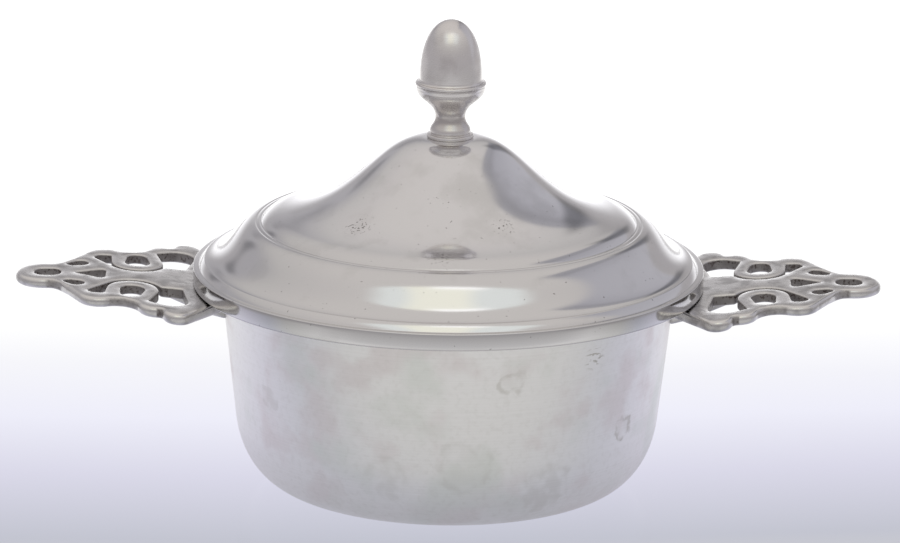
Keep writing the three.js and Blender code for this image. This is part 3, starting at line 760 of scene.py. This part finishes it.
def spot(tree, vector, centre, radius, softness):
    """A round mark: 1 within a radius of a point, fading over the softness."""
    apart = add(tree, "VectorMath", vector, centre, operation="DISTANCE")
    return add(tree, "MapRange", apart, radius + softness, radius - softness, **SMOOTH)


def between(tree, value, low, high, blur):
    """1 from one value to another, fading over the blur at each end."""
    rises = add(tree, "MapRange", value, low - blur, low + blur, **SMOOTH)
    falls = add(tree, "MapRange", value, high + blur, high - blur, **SMOOTH)
    return add(tree, "Math", rises, falls, operation="MULTIPLY")


def shades(ramp, *stops):
    """The colour ramp with its colours set, each stop a place from 0 to 1 and an sRGB hex colour."""
    elements = ramp.color_ramp.elements
    for _ in stops[2:]:
        elements.new(0.5)
    for element, (at, code) in zip(elements, stops):
        element.position = at
        element.color = (*linear(code), 1)
    return ramp


def dried_drop(tree, others, vector, broken, centre, outer, inner, strength):
    """Stains with one more: a ring, or a patch where inner is 0, with breaks in it. Sizes are in millimetres."""
    centre = [value * MM for value in centre]
    softness = 0.15 * outer * MM
    mark = spot(tree, vector, centre, outer * MM, softness)
    if inner:
        within = add(tree, "Math", spot(tree, vector, centre, inner * MM, softness), 0.7, operation="MULTIPLY")
        mark = add(tree, "Math", mark, within, operation="SUBTRACT")
    mark = add(tree, "Math", mark, broken, operation="MULTIPLY")
    mark = add(tree, "Math", mark, strength, operation="MULTIPLY")
    return add(tree, "Math", others, mark, operation="MAXIMUM")


def turned_satin_pewter(finish):
    # Turned and rubbed with fine grit: soft broad reflections, faint level lines and a film in pink and green patches,
    # greyer near the foot, with small flecks, a few dried drops and a scratched place under the rim.
    material, tree, place = bare(bpy.data.materials, "turned_satin_pewter")
    lines = lathe_lines(tree, 0.45 * MM)
    warm = blotches(tree, place, 16 * MM, 0.48, 0.66)
    cool = blotches(tree, place, 22 * MM, 0.5, 0.68, seed=0.3)
    colour = add(tree, "Mix", warm, finish.bowl, finish.bowl_warm, data_type="RGBA")
    colour = add(tree, "Mix", cool, colour, finish.bowl_cool, data_type="RGBA")

    height = add(tree, "SeparateXYZ", place).outputs["Z"]
    foot = add(tree, "MapRange", height, 26 * MM, 0.0, 0.0, 0.5, **SMOOTH)
    grain = add(tree, "Math", lines, 0.18, operation="MULTIPLY")
    film = add(tree, "Math", foot, grain, operation="ADD")
    flecks = blotches(tree, place, 1.6 * MM, 0.45, 0.75, detail=5, seed=0.7)
    stains = add(tree, "Math", flecks, 0.12, operation="MULTIPLY")
    # the drops' edges wander by a few millimetres
    swirl = add(tree, "TexNoise", place, 1 / (5 * MM), 3).outputs["Color"]
    centred = add(tree, "VectorMath", swirl, (0.5, 0.5, 0.5), operation="SUBTRACT")
    ragged = add(tree, "VectorMath", centred, (8 * MM, 8 * MM, 8 * MM), place, operation="MULTIPLY_ADD")
    broken = blotches(tree, place, 4.5 * MM, 0.3, 0.62, seed=0.5)
    stains = dried_drop(tree, stains, ragged, broken, (18.6, -62.8, 47.9), outer=4.2, inner=2.6, strength=0.45)
    stains = dried_drop(tree, stains, ragged, broken, (51.2, -37, 27.6), outer=3.8, inner=2.4, strength=0.7)
    stains = dried_drop(tree, stains, ragged, broken, (5.5, -62.3, 22.2), outer=8, inner=6.6, strength=0.3)
    stains = dried_drop(tree, stains, ragged, broken, (28.7, -53.5, 13.2), outer=8, inner=0, strength=0.25)
    stains = dried_drop(tree, stains, ragged, broken, (-17.4, -59.5, 18), outer=7, inner=0, strength=0.2)
    stains = dried_drop(tree, stains, ragged, broken, (-51.2, -38.7, 35.7), outer=4, inner=0, strength=0.25)
    film = add(tree, "Math", film, stains, operation="ADD")
    drawn = add(tree, "Mapping", place, sockets={"Rotation": (0, 0.5, 0), "Scale": (0.25, 0.25, 1)})
    scratches = blotches(tree, drawn, 0.8 * MM, 0.56, 0.6)
    scratched = spot(tree, place, (42.4 * MM, -50.5 * MM, 52.1 * MM), 3.2 * MM, 1.6 * MM)
    scratched = add(tree, "Math", scratched, scratches, operation="MULTIPLY")
    film = add(tree, "Math", film, scratched, operation="MAXIMUM")
    colour = add(tree, "Mix", film, colour, finish.bowl_film, data_type="RGBA")

    rough = add(tree, "Math", lines, 0.12, 0.31, operation="MULTIPLY_ADD")
    rough = add(tree, "Math", warm, 0.05, rough, operation="MULTIPLY_ADD")
    return metal(material, colour, rough, lines, strength=0.25, depth=0.01 * MM)


def polished_pewter(finish):
    # Turned and buffed, then handled: clear but soft reflections, small pits, three corroded places, dull clouds, a
    # darker grey up the band towards the bead, and painted shade along the band's free edge where it meets the bowl.
    material, tree, place = bare(bpy.data.materials, "polished_pewter")
    lines = lathe_lines(tree, 0.5 * MM)
    film = blotches(tree, place, 14 * MM, 0.45, 0.7, detail=4)
    x, y, z = add(tree, "SeparateXYZ", place).outputs
    square = add(tree, "Math", x, x, operation="MULTIPLY")
    square = add(tree, "Math", y, y, square, operation="MULTIPLY_ADD")
    radius = add(tree, "Math", square, operation="SQRT")
    handled = add(tree, "MapRange", radius, 42 * MM, 56 * MM, 0.0, 0.6, **SMOOTH)
    dulled = add(tree, "Math", film, handled, operation="MAXIMUM")
    colour = add(tree, "Mix", dulled, finish.cover, finish.cover_film, data_type="RGBA")

    # darker grey on the band, rising towards the bead and stopping under the ledge
    band = between(tree, radius, 73.3 * MM, 80 * MM, 0.2 * MM)
    upwards = add(tree, "MapRange", z, SKIRT_PLANE + 0.5 * MM, SKIRT_PLANE + 4.4 * MM)
    below_ledge = between(tree, z, SKIRT_PLANE - 1 * MM, SKIRT_PLANE + 4.65 * MM, 0.1 * MM)
    under_bead = add(tree, "Math", band, upwards, operation="MULTIPLY")
    under_bead = add(tree, "Math", under_bead, below_ledge, operation="MULTIPLY")
    # painted shade: the band's free edge is darkened where it meets the bowl
    edge_shade = add(tree, "MapRange", z, SKIRT_PLANE + 0.6 * MM, SKIRT_PLANE + 0.1 * MM)
    band_darkening = add(tree, "Math", under_bead, edge_shade, operation="MAXIMUM")
    colour = add(tree, "Mix", band_darkening, colour, finish.band_darkening, data_type="RGBA")

    pits = blotches(tree, place, 1.1 * MM, 0.74, 0.8, detail=1)
    sore = spot(tree, place, (-26 * MM, -28.9 * MM, 84.7 * MM), 3.5 * MM, 2.5 * MM)
    for centre in ((15.6 * MM, -33 * MM, 86.1 * MM), (-2.5 * MM, -50.4 * MM, 81.2 * MM)):
        sore = add(tree, "Math", sore, spot(tree, place, centre, 2.8 * MM, 2 * MM), operation="MAXIMUM")
    eaten = blotches(tree, place, 0.9 * MM, 0.58, 0.66, detail=2)
    eaten = add(tree, "Math", sore, eaten, operation="MULTIPLY")
    oxide = add(tree, "Math", pits, 0.6, operation="MULTIPLY")
    oxide = add(tree, "Math", oxide, eaten, operation="MAXIMUM")
    colour = add(tree, "Mix", oxide, colour, finish.pit, data_type="RGBA")

    rough = add(tree, "Math", lines, 0.06, 0.08, operation="MULTIPLY_ADD")
    rough = add(tree, "Math", film, 0.04, rough, operation="MULTIPLY_ADD")
    holes = add(tree, "Math", pits, eaten, operation="MAXIMUM")
    # a pit is three times as deep as the tool lines
    relief = add(tree, "Math", holes, -3.0, lines, operation="MULTIPLY_ADD")
    return metal(material, colour, rough, relief, strength=0.2, depth=0.008 * MM)


def turned_knob_pewter(finish):
    # Turned between centres and left satin: level tool lines, and a brown film in the neck, where no cloth reaches.
    material, tree, place = bare(bpy.data.materials, "turned_knob_pewter")
    lines = lathe_lines(tree, 0.35 * MM)
    film = add(tree, "Math", blotches(tree, place, 7 * MM, 0.5, 0.72), 0.2, operation="MULTIPLY")
    height = add(tree, "SeparateXYZ", place).outputs["Z"]
    neck = add(tree, "Math", between(tree, height, 108 * MM, 112.5 * MM, 3 * MM), 0.55, operation="MULTIPLY")
    film = add(tree, "Math", film, neck, operation="MAXIMUM")
    colour = add(tree, "Mix", film, finish.knob, finish.knob_film, data_type="RGBA")
    rough = add(tree, "Math", lines, 0.14, 0.19, operation="MULTIPLY_ADD")
    return metal(material, colour, rough, lines, strength=0.35, depth=0.012 * MM)


def cast_pewter(finish):
    # Sand cast and filed: a softly uneven skin with a grey film, upper edges smoother and painted lighter as a
    # highlight, brown oxide in the piercings.
    material, tree, place = bare(bpy.data.materials, "cast_pewter")
    film = blotches(tree, place, 5 * MM, 0.42, 0.68, detail=4)
    speckle = add(tree, "Math", blotches(tree, place, 0.9 * MM, 0.35, 0.65), 0.72, operation="MAXIMUM")
    patina = add(tree, "Attribute", attribute_name="patina").outputs["Fac"]
    oxide = add(tree, "Math", patina, speckle, operation="MULTIPLY")
    wear_and_highlight = add(tree, "Attribute", attribute_name="wear_and_highlight").outputs["Fac"]
    colour = add(tree, "Mix", film, finish.ear, finish.ear_film, data_type="RGBA")
    # painted highlight: the upper rounds are lightened
    colour = add(tree, "Mix", wear_and_highlight, colour, finish.ear_highlight, data_type="RGBA")
    colour = add(tree, "Mix", oxide, colour, finish.patina, data_type="RGBA")
    bare_metal = add(tree, "Math", 1.0, oxide, operation="SUBTRACT")
    rough = add(tree, "Math", film, 0.1, 0.25, operation="MULTIPLY_ADD")
    rough = add(tree, "Math", wear_and_highlight, -0.08, rough, operation="MULTIPLY_ADD")
    rough = add(tree, "Math", oxide, 0.35, rough, operation="MULTIPLY_ADD")
    skin = add(tree, "TexNoise", place, 1 / (2.2 * MM), 3)
    return metal(material, colour, rough, skin, strength=0.4, depth=0.1 * MM, metallic=bare_metal)


def machined_steel(finish):
    # Machined mild steel, slightly dulled: darker than the pewter, with fine tool marks.
    material, tree, place = bare(bpy.data.materials, "machined_steel")
    marks = blotches(tree, place, 0.8 * MM, 0.3, 0.7)
    darker = [0.85 * value for value in finish.steel]
    colour = add(tree, "Mix", marks, finish.steel, darker, data_type="RGBA")
    rough = add(tree, "Math", marks, 0.15, 0.25, operation="MULTIPLY_ADD")
    return metal(material, colour, rough)


# Studio

WHITE = (1, 1, 1)


def frosted_acrylic_sheet():
    # Frosted acrylic sheet lit from behind: bluish near the camera, clear white behind the object, faintly glossy, grey
    # beyond the lamps at its sides, and clear when seen from below. Its shades lie 30 mm further back on the right.
    material, tree, place = bare(bpy.data.materials, "frosted_acrylic_sheet")
    across, depth, _ = add(tree, "SeparateXYZ", place).outputs
    right = add(tree, "MapRange", across, 0.0, 0.2, 0.0, -0.03)
    from_front = add(tree, "MapRange", add(tree, "Math", depth, right, operation="ADD"), -0.4, 0.4)
    colour = shades(
        add(tree, "ValToRGB", from_front), (0.0, "#CCCBCD"), (0.2, "#D6D5D6"), (0.27, "#E9E8E9"), (0.36, "#D2D2D1"),
        (0.42, "#C4C6D2"), (0.5, "#DCDBEB"), (0.575, "#F1F1FD"), (0.7, "#FFFFFF"))
    before_lamps = between(tree, across, -0.34, 0.34, 0.08)
    colour = add(tree, "Mix", before_lamps, linear("#B6B4B6"), colour, data_type="RGBA")
    brighter = add(tree, "MapRange", depth, 0.12, 0.5, 1.0, 1.4)
    shine = add(tree, "Emission", colour, brighter)
    gloss = add(tree, "BsdfGlossy", WHITE, 0.12)
    sheet = add(tree, "MixShader", 0.06, shine, gloss)
    below = add(tree, "NewGeometry").outputs["Backfacing"]
    sheet = add(tree, "MixShader", below, sheet, add(tree, "BsdfTransparent"))
    add(tree, "OutputMaterial", sheet)
    return material


def studio_tent(strength):
    """A white tent with a softbox overhead, a grey screen on the right, and clear white low behind the object.

    A direction is read as elevation and azimuth in degrees, azimuth 0 towards the camera and rising to the right, or as
    the place where it meets a level plane 1 above, across to the right and ahead towards the camera.
    """
    world, tree, way = bare(bpy.data.worlds, "studio_tent", place="Generated")
    degrees = 180 / math.pi
    x, y, z = add(tree, "SeparateXYZ", way).outputs
    front = add(tree, "Math", y, -1.0, operation="MULTIPLY")
    azimuth = add(tree, "Math", add(tree, "Math", x, front, operation="ARCTAN2"), degrees, operation="MULTIPLY")
    elevation = add(tree, "Math", add(tree, "Math", z, operation="ARCSINE"), degrees, operation="MULTIPLY")
    colour = shades(
        add(tree, "ValToRGB", z), (0.0, "#A3A0A4"), (0.26, "#A3A0A2"), (0.42, "#AFACAC"), (0.57, "#B8B5B4"),
        (0.71, "#BEBAB9"), (0.85, "#C3BFBD"), (1.0, "#C5C1BF"))

    left, low = between(tree, azimuth, -190, -80, 20), between(tree, elevation, 12, 27, 7)
    low_left = add(tree, "Math", left, low, operation="MULTIPLY")
    colour = add(tree, "Mix", low_left, colour, linear("#A3A1A5"), data_type="RGBA")

    # the screen on the right hangs from a straight rail, and is darkest just under it
    held = add(tree, "Math", z, 0.05, operation="MAXIMUM")
    across = add(tree, "Math", x, held, operation="DIVIDE")
    ahead = add(tree, "Math", front, held, operation="DIVIDE")
    past_rail = add(tree, "Math", across, 0.5, operation="SUBTRACT")
    screen = shades(
        add(tree, "ValToRGB", add(tree, "Math", past_rail, 2.0, operation="DIVIDE")), (0.0, "#929197"),
        (0.03, "#98979D"), (0.06, "#929197"), (0.11, "#A2A1A8"), (0.3, "#ABAAB1"), (1.0, "#B1B0B7"))
    covers = add(tree, "MapRange", past_rail, -0.03, 0.03, **SMOOTH)
    covers = add(tree, "Math", covers, between(tree, ahead, -2.6, -0.1, 0.12), operation="MULTIPLY")
    colour = add(tree, "Mix", covers, colour, screen, data_type="RGBA")

    # white fills the tent's back up to 2 degrees and fades out at 19, and it sinks by 0.35 degrees for each degree to
    # the side, which is 63 degrees all the way round
    turned_away = add(tree, "Math", azimuth, operation="ABSOLUTE")
    lowered = add(tree, "Math", turned_away, -0.35, elevation, operation="MULTIPLY_ADD")
    behind = add(tree, "MapRange", lowered, 19 - 63, 2 - 63, **SMOOTH)
    colour = add(tree, "Mix", behind, colour, (1.15, 1.15, 1.18), data_type="RGBA")

    def gap(colour, azimuth_of, half_width, low, high, depth):
        """The colour with a dark gap between two cloths at the tent's back corners, in degrees."""
        wide = between(tree, azimuth, azimuth_of - half_width, azimuth_of + half_width, 3)
        tall = between(tree, elevation, low, high, 3)
        opening = add(tree, "Math", wide, tall, operation="MULTIPLY")
        opening = add(tree, "Math", opening, depth, operation="MULTIPLY")
        return add(tree, "Mix", opening, colour, linear("#3C3D42"), data_type="RGBA")

    colour = gap(colour, 160, half_width=5, low=15, high=33, depth=0.6)
    colour = gap(colour, -146, half_width=4, low=12, high=22, depth=0.5)
    colour = gap(colour, -168, half_width=10, low=19, high=23, depth=0.3)
    colour = gap(colour, 169, half_width=9, low=18, high=22, depth=0.3)
    add(tree, "OutputWorld", add(tree, "Background", colour, strength))
    return world


def softbox_cloth():
    # Diffuser cloth with a lamp behind it: warm, brightest near the lamp, and fading out along its seams.
    material, tree, place = bare(bpy.data.materials, "softbox_cloth")
    x, y, _ = add(tree, "SeparateXYZ", place).outputs
    middle = between(tree, x, -0.13, 0.08, 0.04)
    lamp = between(tree, x, -0.045, 0.115, 0.04)
    lamp = add(tree, "Math", lamp, between(tree, y, -0.22, -0.18, 0.012), operation="MULTIPLY")
    colour = add(tree, "Mix", middle, linear("#F4F8F7"), linear("#FDFCEF"), data_type="RGBA")
    colour = add(tree, "Mix", lamp, colour, WHITE, data_type="RGBA")
    strength = add(tree, "Math", middle, 0.1, 1.0, operation="MULTIPLY_ADD")
    strength = add(tree, "Math", lamp, 0.3, strength, operation="MULTIPLY_ADD")
    cloth = between(tree, x, -0.25, 0.28, 0.06)
    cloth = add(tree, "Math", cloth, between(tree, y, -0.5, -0.188, 0.009), operation="MULTIPLY")
    lit = add(tree, "Emission", colour, strength)
    mix = add(tree, "MixShader", cloth, add(tree, "BsdfTransparent"), lit)
    add(tree, "OutputMaterial", mix)
    return material


# Operators

def finish_piece(piece, body, slot, *nodes):
    """The piece rides on a body and stands for its solids, which it hides. The slot is not used."""
    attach(piece, body)
    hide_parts(*nodes)


class PORRINGER_OT_bowl(Operator):
    """Draw the bowl"""
    bl_idname = "porringer.bowl"
    bl_label = "Bowl"

    def execute(self, context):
        scene = context.scene
        profile = bowl_profile(scene.porringer_bowl)
        bowl = turned("bowl_turned", profile, WIDE_ROUND, turned_satin_pewter(scene.porringer_finish))
        finish_piece(bowl, BOWL_BODY, "bowl_pewter", "bowl")
        return {"FINISHED"}


class PORRINGER_OT_ears(Operator):
    """Draw both pierced ears with their brackets"""
    bl_idname = "porringer.ears"
    bl_label = "Ears"

    def execute(self, context):
        scene = context.scene
        skirt_radius = scene.porringer_cover.skirt_radius
        points, faces, patina, wear_and_highlight = ear_mesh(scene.porringer_ear, scene.porringer_bowl, skirt_radius)
        material = cast_pewter(scene.porringer_finish)
        for name, half_turn in (("ear_right", (1, 1, 1)), ("ear_left", (-1, -1, 1))):
            ear = new_piece(name + "_cast", points * half_turn, faces, material, {"patina": patina, "wear_and_highlight": wear_and_highlight})
            finish_piece(ear, BOWL_BODY, "ear_pewter", name)
        return {"FINISHED"}


class PORRINGER_OT_cover(Operator):
    """Draw the domed cover"""
    bl_idname = "porringer.cover"
    bl_label = "Cover"

    def execute(self, context):
        scene = context.scene
        profile = cover_profile(scene.porringer_cover, CROWN_BORE)
        cover = turned("cover_turned", profile, WIDE_ROUND, polished_pewter(scene.porringer_finish))
        finish_piece(cover, COVER_BODY, "cover_pewter", "cover")
        return {"FINISHED"}


class PORRINGER_OT_ring(Operator):
    """Draw the locating ring under the cover"""
    bl_idname = "porringer.ring"
    bl_label = "Locating ring"

    def execute(self, context):
        scene = context.scene
        profile = ring_profile(scene.porringer_cover, scene.porringer_bowl, SEAT_GAP, SLIDE_GAP)
        ring = turned("locating_ring_turned", profile, WIDE_ROUND, turned_satin_pewter(scene.porringer_finish))
        finish_piece(ring, COVER_BODY, "bowl_pewter", "cover_bezel")
        return {"FINISHED"}


class PORRINGER_OT_knob(Operator):
    """Draw the acorn knob, and give its screw and washer their steel"""
    bl_idname = "porringer.knob"
    bl_label = "Knob"

    def execute(self, context):
        scene = context.scene
        profile = knob_profile(scene.porringer_knob, SKIRT_PLANE + scene.porringer_cover.crown_height)
        knob = turned("acorn_knob_turned", profile, SLIM_ROUND, turned_knob_pewter(scene.porringer_finish))
        finish_piece(knob, COVER_BODY, "finial_pewter", "acorn_finial")
        steel = machined_steel(scene.porringer_finish)
        for name in ("finial_screw", "finial_washer"):
            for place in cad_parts[name].material_slots:
                place.material = steel
        return {"FINISHED"}


class PORRINGER_OT_stage(Operator):
    """Set up the floor, the tent of light and the camera"""
    bl_idname = "porringer.stage"
    bl_label = "Stage"

    def execute(self, context):
        scene = context.scene
        studio = scene.porringer_studio
        half, low = studio.floor_half, -0.05 * MM
        corners = np.array([[-half, -half, low], [half, -half, low], [half, half, low], [-half, half, low]])
        floor = new_piece("floor_sheet", corners, [[0, 1, 2, 3]], frosted_acrylic_sheet())
        half, near, far, high = 0.32, -0.6, -0.1, 0.5
        cloth = np.array([[-half, near, high], [-half, far, high], [half, far, high], [half, near, high]])
        softbox = new_piece("softbox", cloth, [[0, 1, 2, 3]], softbox_cloth())
        softbox.visible_camera = False
        scene.world = studio_tent(studio.tent)
        scene.view_settings.view_transform = "Standard"
        camera = bpy.data.objects.new("camera", bpy.data.cameras.new("camera"))
        scene.collection.objects.link(camera)
        camera.data.lens = studio.lens
        camera.data.sensor_width = 36
        frame_width = 900  # the shifts are in the same unit
        camera.data.shift_x = 1.75 / frame_width
        camera.data.shift_y = 10.1 / frame_width
        camera.data.clip_start, camera.data.clip_end = 0.1, 50
        target = Vector((0, 0, SKIRT_PLANE))
        back = Vector((0, -math.cos(studio.elevation), math.sin(studio.elevation)))
        turn = (-back).to_track_quat("-Z", "Y").to_matrix().to_4x4() @ Matrix.Rotation(studio.roll, 4, "Z")
        camera.matrix_world = Matrix.Translation(target + back * studio.distance) @ turn
        scene.camera = camera
        return {"FINISHED"}


class PORRINGER_PT_pieces(Panel):
    """The porringer's pieces"""
    bl_idname = "PORRINGER_PT_pieces"
    bl_label = "Covered porringer"
    bl_space_type = "VIEW_3D"
    bl_region_type = "UI"
    bl_category = "Porringer"

    def draw(self, context):
        for operator in PIECES:
            self.layout.operator(operator.bl_idname)
        for group in GROUPS:
            sizes = getattr(context.scene, group)
            box = self.layout.box()
            for key in type(sizes).__annotations__:
                box.prop(sizes, key)


PIECES = (
    PORRINGER_OT_bowl, PORRINGER_OT_ears, PORRINGER_OT_cover, PORRINGER_OT_ring, PORRINGER_OT_knob, PORRINGER_OT_stage)
GROUPS = {
    "porringer_bowl": BowlSizes,
    "porringer_cover": CoverSizes,
    "porringer_knob": KnobSizes,
    "porringer_ear": EarSizes,
    "porringer_finish": Finishes,
    "porringer_studio": Studio,
}


def register():
    for kind in (*GROUPS.values(), *PIECES, PORRINGER_PT_pieces):
        bpy.utils.register_class(kind)
    for name, kind in GROUPS.items():
        setattr(bpy.types.Scene, name, PointerProperty(type=kind))


def unregister():
    for name in GROUPS:
        delattr(bpy.types.Scene, name)
    for kind in (PORRINGER_PT_pieces, *PIECES[::-1], *GROUPS.values()):
        bpy.utils.unregister_class(kind)


def main():
    register()
    bpy.ops.porringer.bowl()
    bpy.ops.porringer.ears()
    bpy.ops.porringer.cover()
    bpy.ops.porringer.ring()
    bpy.ops.porringer.knob()
    bpy.ops.porringer.stage()


if __name__ == "__main__":
    main()
